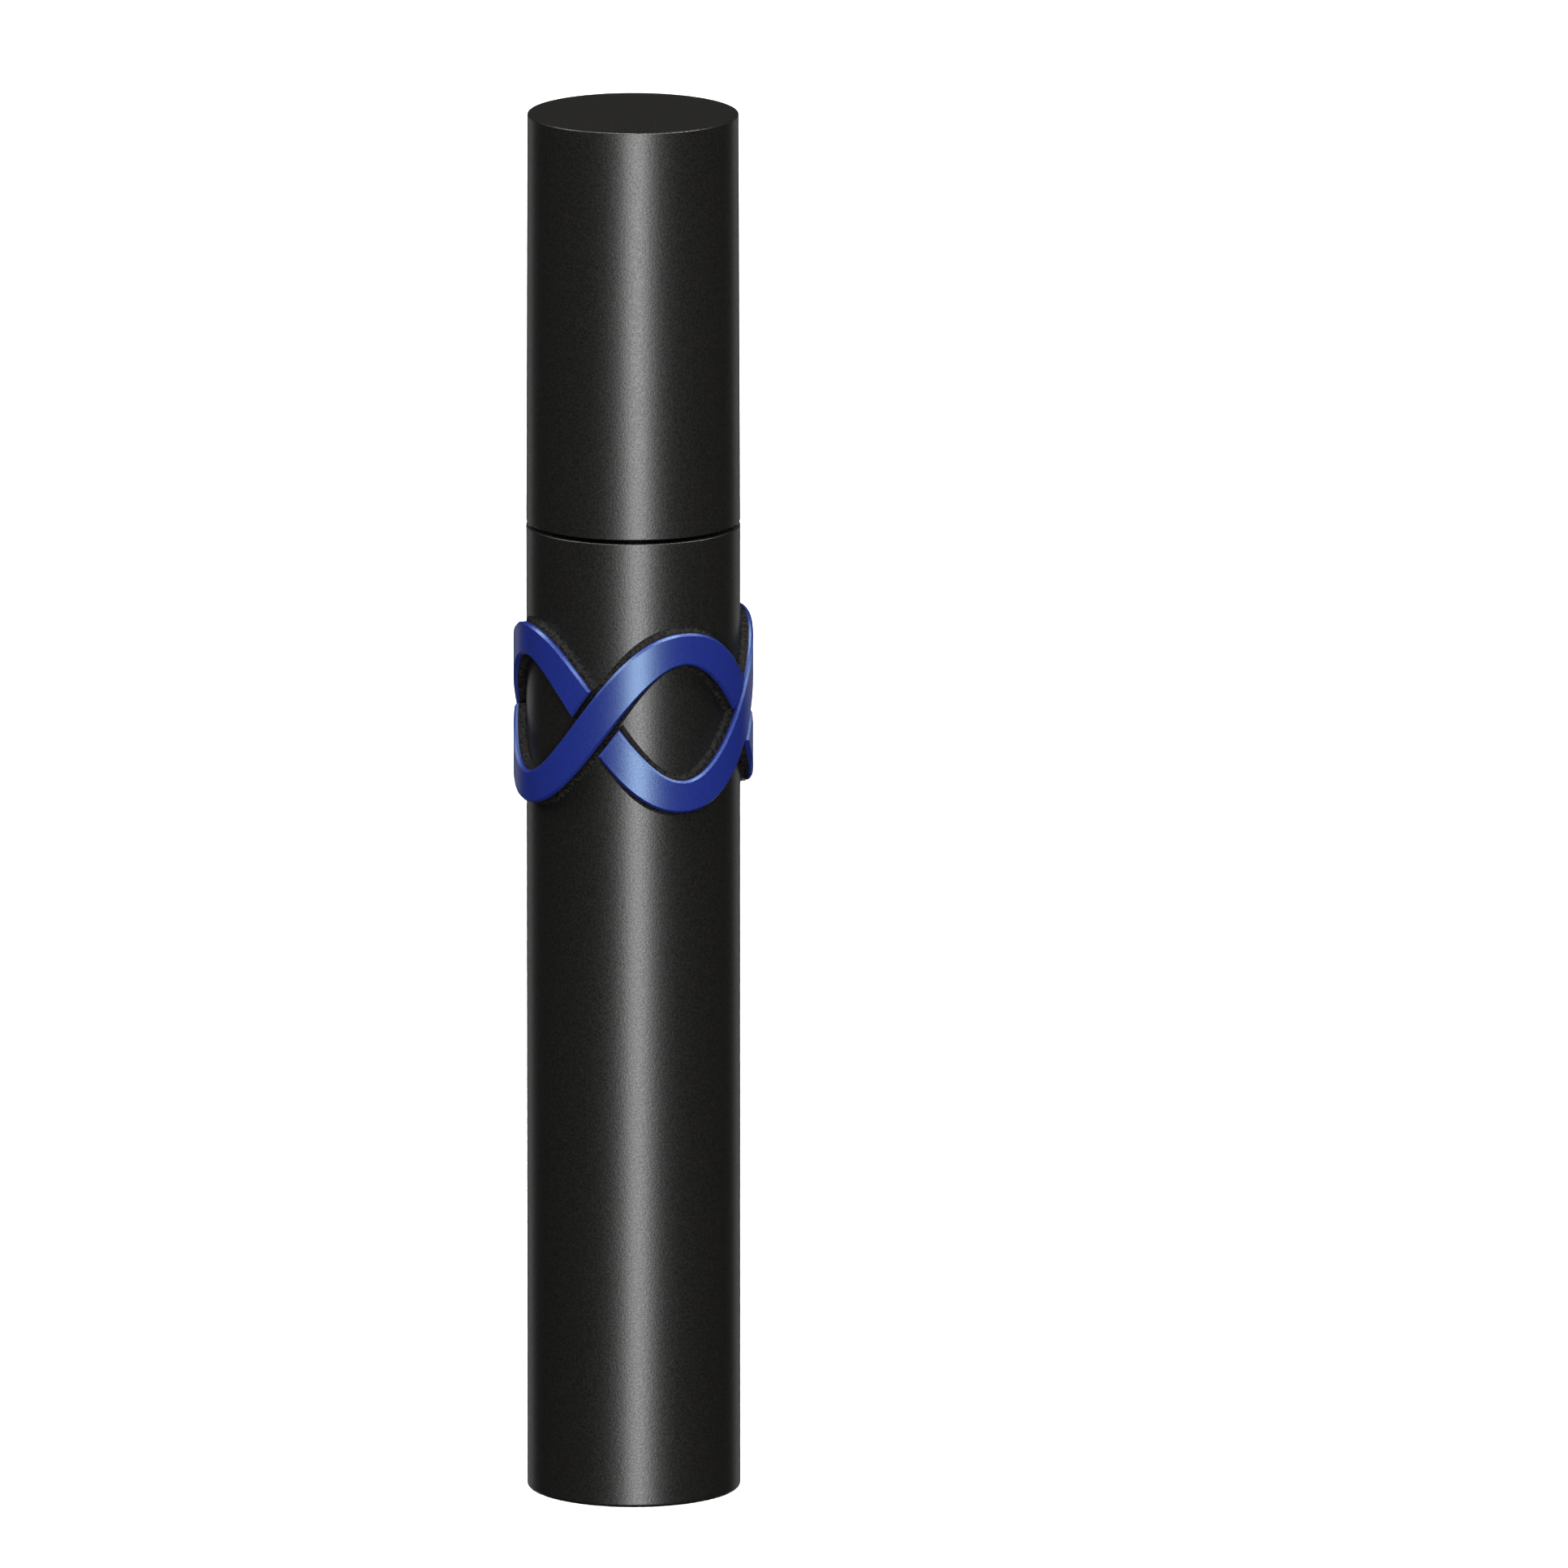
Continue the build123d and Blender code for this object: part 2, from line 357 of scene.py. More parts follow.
def new_tree(name: str, inputs: dict[str, str]) -> bpy.types.NodeTree:
    """A Geometry Nodes tree with named inputs and one geometry output.

    Args:
        name: The tree's name.
        inputs: The socket type of each input, by the input's name.

    Returns:
        The tree, with no nodes yet.
    """
    tree = bpy.data.node_groups.new(name, "GeometryNodeTree")
    for label, kind in inputs.items():
        tree.interface.new_socket(name=label, in_out="INPUT", socket_type=kind)
    tree.interface.new_socket(name="Geometry", in_out="OUTPUT", socket_type="NodeSocketGeometry")
    return tree


# ---- The interlaced band ----


@dataclass(frozen=True)
class Level:
    """One height of a ribbon: its radius, half its width, and how far its ends stay from the other strand."""

    radius: float
    half_width: float
    end_distance: float


@dataclass
class InterlacedBand:
    """Two strands that wave round the sleeve in opposite phase and pass over each other in turn.

    Each ribbon runs from one crossing to the next but one, and is on top in its middle.
    """

    waves: int = 2
    half_width: float = 1.5 * MM
    wave_height: float = 7.0 * MM
    end_distance: float = 2.05 * MM
    foot_fillet: float = 0.45 * MM
    fillet_steps: int = 5
    facing_bevel: float = 0.2 * MM
    steps_along: int = 128
    steps_across: int = 8
    halvings: int = 40
    sharp_angle: float = math.radians(40)

    def __post_init__(self) -> None:
        """Reads the sleeve's radius and the band's place from the frame."""
        self.sleeve_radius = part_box("outer_sleeve")[1].x
        low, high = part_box("relief_1")
        self.middle_z = (low.z + high.z) / 2
        points = [vertex.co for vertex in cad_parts["relief_1"].data.vertices]
        centre = sum(points, Vector()) / len(points)
        self.first_crossing = math.atan2(centre.y, centre.x)
        facing = [vertex.co.xy.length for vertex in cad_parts["facing_1"].data.vertices]
        self.facing_low, self.facing_high = min(facing), max(facing)

    def height(self, over: Over, angle: float) -> float:
        """Height of a strand's middle line at an angle round the sleeve."""
        phase = self.waves * (angle - self.first_crossing)
        return self.middle_z + over.value * self.wave_height * math.sin(phase)

    def stretch(self, over: Over, angle: float) -> float:
        """How much taller a slanting strand is than a level one.

        Args:
            over: The strand. Not used.
            angle: Where round the sleeve.

        Returns:
            A factor of 1 or more.
        """
        phase = self.waves * (angle - self.first_crossing)
        slope = self.wave_height * self.waves * math.cos(phase) / self.sleeve_radius
        return math.hypot(1, slope)

    def end_angle(self, over: Over, across: float, level: Level, crossing: float, inner: float) -> float:
        """The angle where a line along the ribbon meets the clear edge of the strand above it.

        Args:
            over: The ribbon's own strand.
            across: The line's place across the ribbon, from -1 to 1.
            level: The height at which the ribbon is cut.
            crossing: The angle of the crossing at this end.
            inner: An angle well inside the ribbon.

        Returns:
            The angle, in radians.
        """
        other = Over(-over.value)
        near, far = crossing, inner
        for _ in range(self.halvings):
            middle = (near + far) / 2
            line = self.height(over, middle) + across * level.half_width * self.stretch(over, middle)
            apart = abs(line - self.height(other, middle))
            if apart < level.end_distance * self.stretch(other, middle):
                near = middle
            else:
                far = middle
        return (near + far) / 2

    def grid(self, over: Over, crossing: float, level: Level) -> list[list[Vector]]:
        """The points of one level.

        Args:
            over: The ribbon's own strand.
            crossing: The angle of its middle crossing.
            level: The height at which the ribbon is cut.

        Returns:
            Rows of points along the ribbon, from its lower edge to its upper one.
        """
        quarter = math.pi / self.waves
        rows = []
        for row in range(self.steps_across + 1):
            across = 2 * row / self.steps_across - 1
            first = self.end_angle(over, across, level, crossing - quarter, crossing - quarter / 2)
            last = self.end_angle(over, across, level, crossing + quarter, crossing + quarter / 2)
            points = []
            for step in range(self.steps_along + 1):
                angle = first + (last - first) * step / self.steps_along
                z = self.height(over, angle) + across * level.half_width * self.stretch(over, angle)
                points.append(Vector((level.radius * math.cos(angle), level.radius * math.sin(angle), z)))
            rows.append(points)
        return rows

    def ribbon(self, name: str, over: Over, crossing: float, levels: list[Level]) -> bpy.types.Object:
        """A closed ribbon through all its levels, from the lowest to the highest.

        Args:
            name: The new piece's name.
            over: The ribbon's own strand.
            crossing: The angle of its middle crossing.
            levels: Its levels, at least two.

        Returns:
            The new piece.
        """
        shape = bmesh.new()
        rims = []
        last = len(levels) - 1
        for number, level in enumerate(levels):
            rows = self.grid(over, crossing, level)
            if number in (0, last):
                verts = [[shape.verts.new(point) for point in row] for row in rows]
                for low, high in zip(verts, verts[1:]):
                    for a, b, c, d in zip(low, low[1:], high[1:], high):
                        shape.faces.new((a, b, c, d))
                rims.append(self.rim(verts))
            else:
                rims.append([shape.verts.new(point) for point in self.rim(rows)])
        for low, high in zip(rims, rims[1:]):
            for a, b, c, d in zip(low, low[1:] + low[:1], high[1:] + high[:1], high):
                shape.faces.new((a, b, c, d))
        bmesh.ops.recalc_face_normals(shape, faces=shape.faces)
        for face in shape.faces:
            face.smooth = True
        mesh = bpy.data.meshes.new(name)
        shape.to_mesh(mesh)
        shape.free()
        mesh.set_sharp_from_angle(angle=self.sharp_angle)
        return new_piece(name, mesh)

    @staticmethod
    def rim(rows: list[list[Any]]) -> list[Any]:
        """The outer loop of a grid.

        Args:
            rows: The grid, row by row.

        Returns:
            Its outer entries, once round.
        """
        right = [row[-1] for row in rows[1:-1]]
        left = [row[0] for row in rows[1:-1]]
        return rows[0] + right + rows[-1][::-1] + left[::-1]

    def pad_levels(self) -> list[Level]:
        """The pad: a concave fillet out of the sleeve, then an upright wall up to the facing.

        Returns:
            Its levels from the sleeve outwards.
        """
        levels = []
        for step in range(self.fillet_steps + 1):
            turn = math.pi / 2 * step / self.fillet_steps
            rise = self.foot_fillet * (1 - math.cos(turn))
            flare = self.foot_fillet * (1 - math.sin(turn))
            levels.append(Level(self.sleeve_radius + rise, self.half_width + flare, self.end_distance))
        levels.append(Level(self.facing_low, self.half_width, self.end_distance))
        return levels

    def facing_levels(self) -> list[Level]:
        """The facing: an upright edge and a flat bevel all round its top.

        Returns:
            Its levels from the pad outwards.
        """
        bevel = self.facing_bevel
        return [
            Level(self.facing_low, self.half_width, self.end_distance),
            Level(self.facing_high - bevel, self.half_width, self.end_distance),
            Level(self.facing_high, self.half_width - bevel, self.end_distance + bevel),
        ]

    def build(self) -> None:
        """Makes every pad and facing, with its finish, on the bottle."""
        rubber, blue = PAD_RUBBER.material(), BLUE_SATIN.material()
        for number in range(2 * self.waves):
            over = Over.FIRST if number % 2 == 0 else Over.SECOND
            crossing = self.first_crossing + number * math.pi / self.waves
            parts = (
                ("relief", "pad", self.pad_levels(), rubber, "relief_rubber"),
                ("facing", "facing_plate", self.facing_levels(), blue, "blue_facing"),
            )
            for node, label, levels, material, slot in parts:
                piece = self.ribbon(f"band_{label}_{number + 1}", over, crossing, levels)
                dress(piece, material)
                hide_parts(f"{node}_{number + 1}")
                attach(piece, Body.BOTTLE.value)


# ---- The applicator's brush ----


@dataclass
class Brush:
    """Twisted wire core with a helical pile of coated fibres.

    The pile's outline is given from its lower end, as radius and length. A fibre is stuck to others of
    its bunch, and its film of cosmetic is a share of the fibre's own radius. Lanes keep the waves of
    neighbouring fibres apart.
    """

    wire_diameter: float = 0.72 * MM
    wire_offset: float = 0.355 * MM
    twist_pitch: float = 3.5 * MM
    wire_steps: int = 900
    wire_sides: int = 14
    fold_length: float = 0.5 * MM
    fibres: int = 760
    fibre_points: int = 10
    fibre_sides: int = 4
    fibre_radius: float = 0.078 * MM
    start_radius: float = 2.1 * MM
    tip_radius: float = 3.25 * MM
    tip_length: float = 2.4 * MM
    end_radius: float = 4.2 * MM
    end_length: float = 2.15 * MM
    bunch_size: float = 8.0
    lean_power: float = 1.4
    shortness_power: float = 3.0
    shortest_share: float = 0.78
    waves_per_metre: float = 480.0
    wave_share: float = 0.17
    root_film: float = 2.6
    tip_film: float = 0.85
    root_film_share: float = 0.3
    lane_step: float = 7.31
    seed: int = 7

    def __post_init__(self) -> None:
        """Reads the wire's and the pile's places from the frame."""
        self.wire_low, self.wire_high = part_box("brush_wire")
        self.pile_low, self.pile_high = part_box("bristles")

    def wire_tree(self) -> bpy.types.NodeTree:
        """One wire, folded at the tip, whose two legs wind round each other.

        Along the wire runs t, which is 0 at the fold. With s the root of t squared plus fold squared,
        the wire's height is s less fold, and its distance from the axis is the offset times t over s.

        Returns:
            The tree, with its sizes as inputs.
        """
        tree = new_tree("twisted_wire", {
            "Length": "NodeSocketFloat", "Steps": "NodeSocketInt", "Offset": "NodeSocketFloat",
            "Fold": "NodeSocketFloat", "Pitch": "NodeSocketFloat", "Wire Radius": "NodeSocketFloat",
            "Low": "NodeSocketFloat", "Material": "NodeSocketMaterial",
        })
        given = add_node(tree, "NodeGroupInput").outputs
        line = add_node(tree, "GeometryNodeMeshLine", {"Count": given["Steps"]}, mode="OFFSET")
        along = add_node(tree, "ShaderNodeMapRange", {
            0: add_node(tree, "GeometryNodeInputIndex").outputs[0],
            2: given["Steps"], 3: -1.0, 4: 1.0,
        }, clamp=False)
        t = add_node(tree, "ShaderNodeMath", {0: along.outputs[0], 1: given["Length"]}, operation="MULTIPLY")
        t_squared = add_node(tree, "ShaderNodeMath", {0: t.outputs[0], 1: t.outputs[0]}, operation="MULTIPLY")
        fold_squared = add_node(
            tree, "ShaderNodeMath", {0: given["Fold"], 1: given["Fold"]}, operation="MULTIPLY",
        )
        both = add_node(
            tree, "ShaderNodeMath", {0: t_squared.outputs[0], 1: fold_squared.outputs[0]}, operation="ADD",
        )
        s = add_node(tree, "ShaderNodeMath", {0: both.outputs[0]}, operation="SQRT")
        height = add_node(tree, "ShaderNodeMath", {0: s.outputs[0], 1: given["Fold"]}, operation="SUBTRACT")
        share = add_node(tree, "ShaderNodeMath", {0: t.outputs[0], 1: s.outputs[0]}, operation="DIVIDE")
        away = add_node(
            tree, "ShaderNodeMath", {0: share.outputs[0], 1: given["Offset"]}, operation="MULTIPLY",
        )
        turns = add_node(
            tree, "ShaderNodeMath", {0: height.outputs[0], 1: given["Pitch"]}, operation="DIVIDE",
        )
        angle = add_node(tree, "ShaderNodeMath", {0: turns.outputs[0], 1: math.tau}, operation="MULTIPLY")
        cosine = add_node(tree, "ShaderNodeMath", {0: angle.outputs[0]}, operation="COSINE")
        sine = add_node(tree, "ShaderNodeMath", {0: angle.outputs[0]}, operation="SINE")
        x = add_node(tree, "ShaderNodeMath", {0: cosine.outputs[0], 1: away.outputs[0]}, operation="MULTIPLY")
        y = add_node(tree, "ShaderNodeMath", {0: sine.outputs[0], 1: away.outputs[0]}, operation="MULTIPLY")
        z = add_node(tree, "ShaderNodeMath", {0: height.outputs[0], 1: given["Low"]}, operation="ADD")
        point = add_node(tree, "ShaderNodeCombineXYZ", {0: x.outputs[0], 1: y.outputs[0], 2: z.outputs[0]})
        placed = add_node(
            tree, "GeometryNodeSetPosition", {"Geometry": line.outputs[0], "Position": point.outputs[0]},
        )
        path = add_node(tree, "GeometryNodeMeshToCurve", {0: placed.outputs[0]})
        section = add_node(tree, "GeometryNodeCurvePrimitiveCircle", {
            "Resolution": self.wire_sides, "Radius": given["Wire Radius"],
        })
        tube = add_node(tree, "GeometryNodeCurveToMesh", {
            "Curve": path.outputs[0], "Profile Curve": section.outputs[0], "Fill Caps": True,
        })
        whole = add_node(tree, "GeometryNodeRealizeInstances", {0: tube.outputs[0]})
        coloured = add_node(
            tree, "GeometryNodeSetMaterial", {0: whole.outputs[0], "Material": given["Material"]},
        )
        add_node(tree, "NodeGroupOutput", {0: coloured.outputs[0]})
        return tree

    def wire(self) -> bpy.types.Object:
        """The folded and twisted wire.

        Returns:
            One closed mesh.
        """
        radius = self.wire_diameter / 2
        low = self.wire_low.z + radius
        return mesh_from_tree("twisted_wire", self.wire_tree(), {
            "Length": self.wire_high.z - low + self.fold_length, "Steps": self.wire_steps,
            "Offset": self.wire_offset, "Fold": self.fold_length, "Pitch": self.twist_pitch,
            "Wire Radius": radius, "Low": low, "Material": WIRE_STEEL.material(),
        })

    def fibre_tree(self) -> bpy.types.NodeTree:
        """Fibres in two rows that follow the twist, wavy, and stuck together here and there.

        Returns:
            The tree, with its sizes as inputs.
        """
        tree = new_tree("fibre_pile", {
            "Count": "NodeSocketInt", "Points": "NodeSocketInt", "Sides": "NodeSocketInt",
            "Low": "NodeSocketFloat", "High": "NodeSocketFloat", "Pitch": "NodeSocketFloat",
            "Fibre Radius": "NodeSocketFloat", "Seed": "NodeSocketInt", "Material": "NodeSocketMaterial",
        })
        given = add_node(tree, "NodeGroupInput").outputs

        # One straight fibre for each point, which the rest of the tree bends into place.
        roots = add_node(tree, "GeometryNodePoints", {"Count": given["Count"]})
        straight = add_node(tree, "GeometryNodeCurvePrimitiveLine", {"End": (1.0, 0.0, 0.0)})
        divided = add_node(
            tree, "GeometryNodeResampleCurve", {"Curve": straight.outputs[0], "Count": given["Points"]},
        )
        copies = add_node(
            tree, "GeometryNodeInstanceOnPoints",
            {"Points": roots.outputs[0], "Instance": divided.outputs[0]},
        )
        fibres = add_node(tree, "GeometryNodeRealizeInstances", {0: copies.outputs[0]})
        index = add_node(tree, "GeometryNodeInputIndex")
        ratio = add_node(
            tree, "ShaderNodeMath", {0: index.outputs[0], 1: given["Points"]}, operation="DIVIDE",
        )
        fibre = add_node(tree, "ShaderNodeMath", {0: ratio.outputs[0]}, operation="FLOOR")
        along = add_node(tree, "GeometryNodeSplineParameter")

        # Neighbours on the same side of the wire make up a bunch.
        side = add_node(tree, "ShaderNodeMath", {0: fibre.outputs[0], 1: 2.0}, operation="MODULO")
        group = add_node(tree, "ShaderNodeMath", {0: fibre.outputs[0], 1: self.bunch_size}, operation="SNAP")
        bunch = add_node(tree, "ShaderNodeMath", {0: group.outputs[0], 1: side.outputs[0]}, operation="ADD")

        draws = {}
        for number, (label, source, low, high) in enumerate((
            ("root_shift", fibre, -0.35 * MM, 0.35 * MM), ("root_turn", fibre, -1.1, 1.1),
            ("tip_shift", fibre, -0.3 * MM, 0.3 * MM), ("tip_turn", fibre, -0.25, 0.25),
            ("shortening", fibre, 0.0, 1.0), ("thickness", fibre, 0.55, 1.15),
            ("bunch_shift", bunch, -0.35 * MM, 0.35 * MM), ("bunch_turn", bunch, -0.55, 0.55),
            ("sticking", bunch, -0.8, 0.75),
        )):
            seed = add_node(tree, "ShaderNodeMath", {0: given["Seed"], 1: float(number)}, operation="ADD")
            draws[label] = add_node(tree, "FunctionNodeRandomValue", {
                "Min": low, "Max": high, "ID": source.outputs[0], "Seed": seed.outputs[0],
            }, data_type="FLOAT").outputs["Value"]

        # Roots climb the wire, and their direction turns with its twist.
        climbs = []
        for number, row in enumerate((fibre, group)):
            climb = add_node(tree, "ShaderNodeMapRange", {
                0: row.outputs[0], 2: given["Count"], 3: given["Low"], 4: given["High"],
            })
            shift = draws[("root_shift", "bunch_shift")[number]]
            level = add_node(tree, "ShaderNodeMath", {0: climb.outputs[0], 1: shift}, operation="ADD")
            turns = add_node(
                tree, "ShaderNodeMath", {0: climb.outputs[0], 1: given["Pitch"]}, operation="DIVIDE",
            )
            half = add_node(
                tree, "ShaderNodeMath",
                {0: side.outputs[0], 1: 0.5, 2: turns.outputs[0]}, operation="MULTIPLY_ADD",
            )
            turn = draws[("root_turn", "bunch_turn")[number]]
            angle = add_node(
                tree, "ShaderNodeMath", {0: half.outputs[0], 1: math.tau, 2: turn}, operation="MULTIPLY_ADD",
            )
            climbs.append((level.outputs[0], angle.outputs[0]))
        (root_z, root_angle), (bunch_z, bunch_angle) = climbs

        # A fibre's tip leans its own way, or towards its bunch where the cosmetic sticks them together.
        free_z = add_node(tree, "ShaderNodeMath", {0: root_z, 1: draws["tip_shift"]}, operation="ADD")
        free_angle = add_node(tree, "ShaderNodeMath", {0: root_angle, 1: draws["tip_turn"]}, operation="ADD")
        pull = add_node(tree, "ShaderNodeMath", {0: draws["sticking"], 1: 0.0}, operation="MAXIMUM")
        tip_z = add_node(tree, "ShaderNodeMix", {0: pull.outputs[0], 2: free_z.outputs[0], 3: bunch_z})
        tip_angle = add_node(
            tree, "ShaderNodeMix", {0: pull.outputs[0], 2: free_angle.outputs[0], 3: bunch_angle},
        )
        eased = add_node(tree, "ShaderNodeMath", {0: along.outputs[0], 1: self.lean_power}, operation="POWER")
        z = add_node(tree, "ShaderNodeMix", {0: eased.outputs[0], 2: root_z, 3: tip_z.outputs[0]})
        angle = add_node(tree, "ShaderNodeMix", {0: eased.outputs[0], 2: root_angle, 3: tip_angle.outputs[0]})

        # The pile's outline, as the least of three cones, less what each fibre was cut short.
        rising = add_node(tree, "ShaderNodeMapRange", {
            0: root_z, 1: self.pile_low.z, 2: self.pile_low.z + self.tip_length,
            3: self.start_radius, 4: self.tip_radius,
        }, clamp=False)
        widening = add_node(tree, "ShaderNodeMapRange", {
            0: root_z, 1: self.pile_low.z + self.tip_length, 2: self.pile_high.z - self.end_length,
            3: self.tip_radius, 4: self.pile_high.x,
        }, clamp=False)
        closing = add_node(tree, "ShaderNodeMapRange", {
            0: root_z, 1: self.pile_high.z - self.end_length, 2: self.pile_high.z,
            3: self.pile_high.x, 4: self.end_radius,
        }, clamp=False)
        least = add_node(
            tree, "ShaderNodeMath", {0: rising.outputs[0], 1: widening.outputs[0]}, operation="MINIMUM",
        )
        outline = add_node(
            tree, "ShaderNodeMath", {0: least.outputs[0], 1: closing.outputs[0]}, operation="MINIMUM",
        )
        uneven = add_node(
            tree, "ShaderNodeMath", {0: draws["shortening"], 1: self.shortness_power}, operation="POWER",
        )
        kept = add_node(tree, "ShaderNodeMapRange", {0: uneven.outputs[0], 3: 1.0, 4: self.shortest_share})
        reach = add_node(
            tree, "ShaderNodeMath", {0: outline.outputs[0], 1: kept.outputs[0]}, operation="MULTIPLY",
        )
        away = add_node(
            tree, "ShaderNodeMath", {0: reach.outputs[0], 1: along.outputs[0]}, operation="MULTIPLY",
        )

        # Waves grow towards the tip.
        cosine = add_node(tree, "ShaderNodeMath", {0: angle.outputs[0]}, operation="COSINE")
        sine = add_node(tree, "ShaderNodeMath", {0: angle.outputs[0]}, operation="SINE")
        x = add_node(tree, "ShaderNodeMath", {0: cosine.outputs[0], 1: away.outputs[0]}, operation="MULTIPLY")
        y = add_node(tree, "ShaderNodeMath", {0: sine.outputs[0], 1: away.outputs[0]}, operation="MULTIPLY")
        smooth = add_node(tree, "ShaderNodeCombineXYZ", {0: x.outputs[0], 1: y.outputs[0], 2: z.outputs[0]})
        stretch = add_node(
            tree, "ShaderNodeMath", {0: away.outputs[0], 1: self.waves_per_metre}, operation="MULTIPLY",
        )
        lane = add_node(
            tree, "ShaderNodeMath", {0: fibre.outputs[0], 1: self.lane_step}, operation="MULTIPLY",
        )
        track = add_node(tree, "ShaderNodeCombineXYZ", {0: stretch.outputs[0], 1: lane.outputs[0]})
        waves = add_node(
            tree, "ShaderNodeTexNoise", {"Vector": track.outputs[0], "Scale": 1.0, "Detail": 1.0},
        )
        centred = add_node(
            tree, "ShaderNodeVectorMath", {0: waves.outputs[1], 1: (0.5, 0.5, 0.5)}, operation="SUBTRACT",
        )
        room = add_node(
            tree, "ShaderNodeMath", {0: away.outputs[0], 1: self.wave_share}, operation="MULTIPLY",
        )
        wavy = add_node(
            tree, "ShaderNodeVectorMath",
            {0: centred.outputs[0], "Scale": room.outputs[0]}, operation="SCALE",
        )
        bent = add_node(
            tree, "ShaderNodeVectorMath", {0: smooth.outputs[0], 1: wavy.outputs[0]}, operation="ADD",
        )
        placed = add_node(
            tree, "GeometryNodeSetPosition", {"Geometry": fibres.outputs[0], "Position": bent.outputs[0]},
        )

        # The film of cosmetic is thick at the root and lumpy further out.
        taper = add_node(tree, "ShaderNodeMapRange", {
            0: along.outputs[0], 2: self.root_film_share, 3: self.root_film, 4: self.tip_film,
        }, interpolation_type="SMOOTHSTEP")
        lumps = add_node(tree, "ShaderNodeMapRange", {0: waves.outputs[0], 1: 0.3, 2: 0.7, 3: 0.7, 4: 1.5})
        film = add_node(
            tree, "ShaderNodeMath", {0: taper.outputs[0], 1: lumps.outputs[0]}, operation="MULTIPLY",
        )
        own = add_node(
            tree, "ShaderNodeMath", {0: film.outputs[0], 1: draws["thickness"]}, operation="MULTIPLY",
        )
        radius = add_node(
            tree, "ShaderNodeMath", {0: own.outputs[0], 1: given["Fibre Radius"]}, operation="MULTIPLY",
        )
        section = add_node(
            tree, "GeometryNodeCurvePrimitiveCircle", {"Resolution": given["Sides"], "Radius": 1.0},
        )
        tubes = add_node(tree, "GeometryNodeCurveToMesh", {
            "Curve": placed.outputs[0], "Profile Curve": section.outputs[0],
            "Scale": radius.outputs[0], "Fill Caps": True,
        })
        whole = add_node(tree, "GeometryNodeRealizeInstances", {0: tubes.outputs[0]})
        coloured = add_node(
            tree, "GeometryNodeSetMaterial", {0: whole.outputs[0], "Material": given["Material"]},
        )
        add_node(tree, "NodeGroupOutput", {0: coloured.outputs[0]})
        return tree

    def pile(self) -> bpy.types.Object:
        """All the fibres.

        Returns:
            One mesh of many small closed tubes.
        """
        return mesh_from_tree("fibre_pile", self.fibre_tree(), {
            "Count": self.fibres, "Points": self.fibre_points, "Sides": self.fibre_sides,
            "Low": self.pile_low.z, "High": self.pile_high.z, "Pitch": self.twist_pitch,
            "Fibre Radius": self.fibre_radius, "Seed": self.seed, "Material": COATED_NYLON.material(),
        })

    def build(self) -> None:
        """Makes the wire and the pile on the applicator."""
        parts = ((self.wire(), "brush_wire", "wire_steel"), (self.pile(), "bristles", "nylon_fibre"))
        for piece, node, slot in parts:
            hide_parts(node)
            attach(piece, Body.APPLICATOR.value)
            LOG.info("%s: %d faces", piece.name, len(piece.data.polygons))


# ---- Pieces that keep their own mesh ----


@dataclass
class PlainPieces:
    """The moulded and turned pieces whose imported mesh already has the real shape."""

    finishes: tuple[tuple[Finish, tuple[str, ...]], ...] = (
        (MATT_LACQUER, ("outer_sleeve", "cap_shell")),
        (BLACK_POLYPROPYLENE, ("base_plug", "inner_bottle", "neck_collar", "inner_cap")),
        (WIPER_ELASTOMER, ("wiper",)),
        (GASKET_FOAM, ("gasket",)),
        (STEM_ACETAL, ("rod",)),
        (TURNED_STEEL, ("cap_weight",)),
        (LABEL_FILM, ("base_label",)),
    )

    def build(self) -> None:
        """Puts each finish on its nodes."""
        for finish, nodes in self.finishes:
            material = finish.material()
            for node in nodes:
                dress(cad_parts[node], material)


# ---- Studio ----


@dataclass(frozen=True)
class Softbox:
    """A soft rectangular light that faces the tube's middle, out of the camera's sight.

    Azimuth is 0 in front of the tube and 90 on its right, and elevation is above the horizon, in degrees.
    Radiance is the brightness of its surface.
    """

    name: str
    azimuth: float
    elevation: float
    distance: float
    width: float
    height: float
    radiance: float

    def build(self, middle: Vector) -> None:
        """Hangs the light.

        Args:
            middle: The point that it faces.
        """
        light = bpy.data.lights.new(self.name, "AREA")
        light.shape = "RECTANGLE"
        light.size, light.size_y = self.width, self.height
        light.energy = self.radiance * math.pi * self.width * self.height
        turn, rise = math.radians(self.azimuth), math.radians(self.elevation)
        away = Vector((math.sin(turn) * math.cos(rise), -math.cos(turn) * math.cos(rise), math.sin(rise)))
        lamp = bpy.data.objects.new(self.name, light)
        lamp.location = middle + away * self.distance
        lamp.rotation_euler = away.to_track_quat("Z", "Y").to_euler()
        lamp.visible_camera = False
        bpy.context.scene.collection.objects.link(lamp)
        LOG.info("%s: radiance %.2f", self.name, self.radiance)


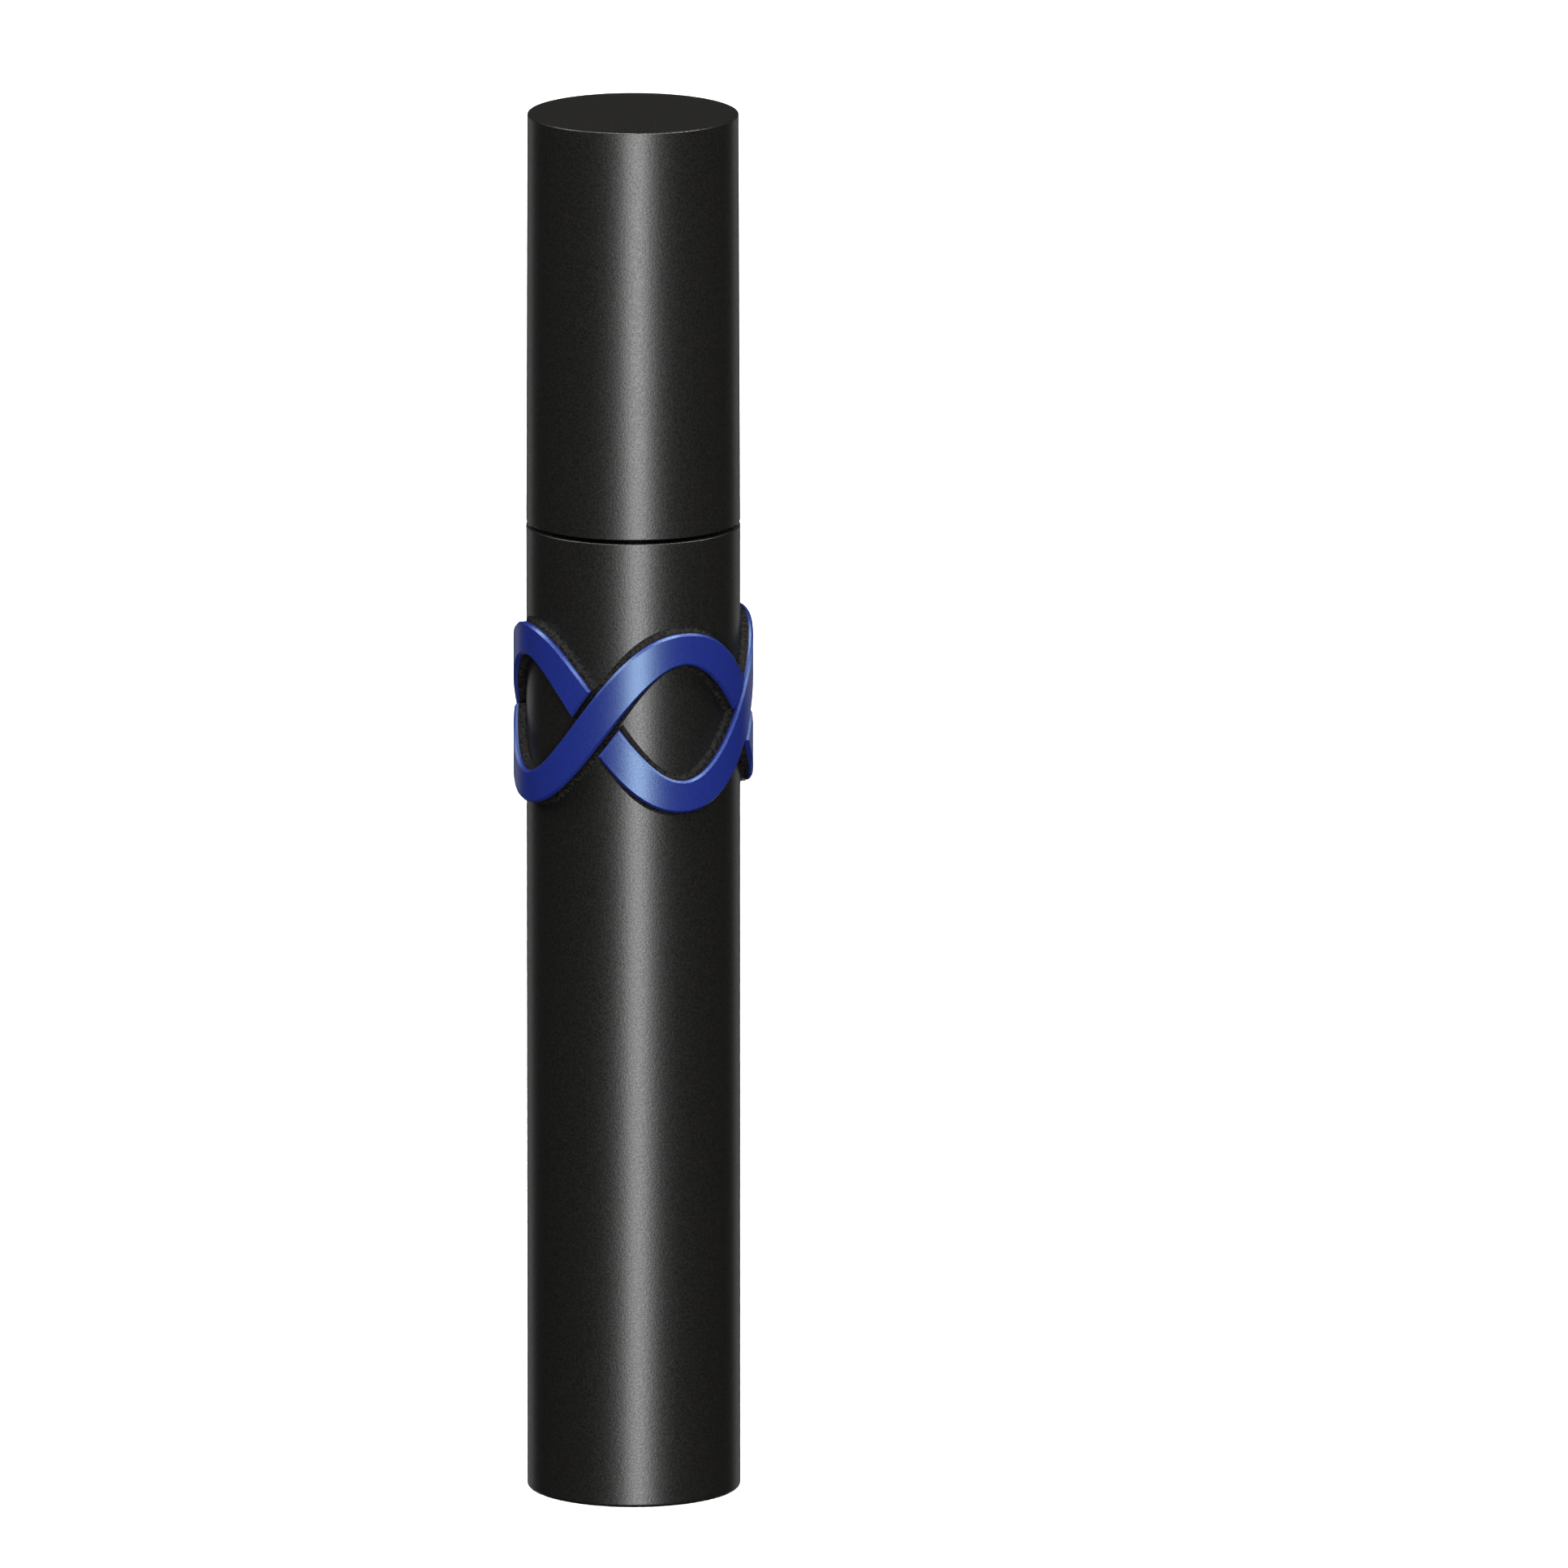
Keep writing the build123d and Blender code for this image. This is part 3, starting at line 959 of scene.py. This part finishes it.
@dataclass
class Studio:
    """Pale floor, soft lights and a long lens."""

    lens: float = 1000.0
    elevation: float = 12.0
    view_width: float = 146.5 * MM
    target: tuple[float, float, float] = (14.07 * MM, 0.0, 67.1 * MM)
    floor_radius: float = 9.0
    floor_colour: str = "#f4f4f4"
    floor_glow: float = 0.6
    floor_segments: int = 96
    fill: float = 0.017
    ceiling_strength: float = 1.4
    ceiling_spread: float = 70.0
    softboxes: tuple[Softbox, ...] = (
        Softbox("key_strip", 4.6, 8.0, 1.5, 0.42, 2.0, 17.0),
        Softbox("left_rim", -151.0, -18.0, 1.5, 0.3, 0.9, 0.7),
        Softbox("right_rim", 151.0, -18.0, 1.5, 0.3, 0.9, 0.65),
        Softbox("top_panel", 0.0, 81.0, 1.0, 0.7, 0.36, 17.0),
        Softbox("left_panel", -85.0, 42.0, 1.2, 0.5, 0.55, 12.0),
        Softbox("right_panel", 85.0, 42.0, 1.2, 0.5, 0.55, 12.0),
        Softbox("back_strip", 180.0, -20.0, 1.5, 0.34, 0.5, 20.0),
    )

    def floor(self) -> None:
        """A wide pale disc, even as far as it goes, that stays out of the tube's reflections."""
        shape = bmesh.new()
        bmesh.ops.create_circle(shape, cap_ends=True, segments=self.floor_segments, radius=self.floor_radius)
        mesh = bpy.data.meshes.new("studio_floor")
        shape.to_mesh(mesh)
        shape.free()
        floor = new_piece("studio_floor", mesh)
        material = bpy.data.materials.new("studio_paper")
        material.use_nodes = True
        shader = material.node_tree.nodes["Principled BSDF"]
        shader.inputs["Base Color"].default_value = linear(self.floor_colour)
        shader.inputs["Roughness"].default_value = 0.9
        shader.inputs["Specular IOR Level"].default_value = 0.0
        shader.inputs["Emission Color"].default_value = linear(self.floor_colour)
        shader.inputs["Emission Strength"].default_value = self.floor_glow
        mesh.materials.append(material)
        floor.visible_glossy = False
        floor.visible_diffuse = False
        floor.visible_shadow = False

    def lights(self) -> None:
        """Every softbox, and a wide even ceiling that only lights and never shines."""
        low, high = CAD_BOX
        for softbox in self.softboxes:
            softbox.build((low + high) / 2)
        light = bpy.data.lights.new("ceiling", "SUN")
        light.energy = self.ceiling_strength
        light.angle = math.radians(self.ceiling_spread)
        lamp = bpy.data.objects.new("ceiling", light)
        lamp.location = 0, 0, 2
        lamp.visible_glossy = False
        bpy.context.scene.collection.objects.link(lamp)

    def world(self) -> None:
        """White where the camera looks past the floor, and a faint even fill for everything else."""
        world = bpy.data.worlds.new("studio_world")
        world.use_nodes = True
        tree = world.node_tree
        tree.nodes.clear()
        path = add_node(tree, "ShaderNodeLightPath")
        strength = add_node(
            tree, "ShaderNodeMapRange", {0: path.outputs["Is Camera Ray"], 3: self.fill, 4: 1.0},
        )
        background = add_node(
            tree, "ShaderNodeBackground", {"Color": linear("#ffffff"), "Strength": strength.outputs[0]},
        )
        add_node(tree, "ShaderNodeOutputWorld", {"Surface": background.outputs[0]})
        bpy.context.scene.world = world

    def camera(self) -> None:
        """A long lens that looks slightly down on the tube."""
        data = bpy.data.cameras.new("camera")
        data.lens = self.lens
        distance = self.view_width * self.lens / data.sensor_width
        data.clip_start, data.clip_end = distance / 10, distance * 5
        camera = bpy.data.objects.new("camera", data)
        rise = math.radians(self.elevation)
        back = Vector((0, -math.cos(rise), math.sin(rise)))
        camera.location = Vector(self.target) + back * distance
        camera.rotation_euler = (-back).to_track_quat("-Z", "Y").to_euler()
        bpy.context.scene.collection.objects.link(camera)
        bpy.context.scene.camera = camera

    def build(self) -> None:
        """Sets up the whole studio."""
        self.floor()
        self.lights()
        self.world()
        self.camera()
        bpy.context.scene.view_settings.view_transform = "Standard"


def main() -> None:
    """Builds the object and its studio."""
    logging.basicConfig(level=logging.INFO, format="%(name)s %(message)s")
    for section in (PlainPieces(), InterlacedBand(), Brush(), Studio()):
        section.build()


if __name__ == "__main__":
    main()
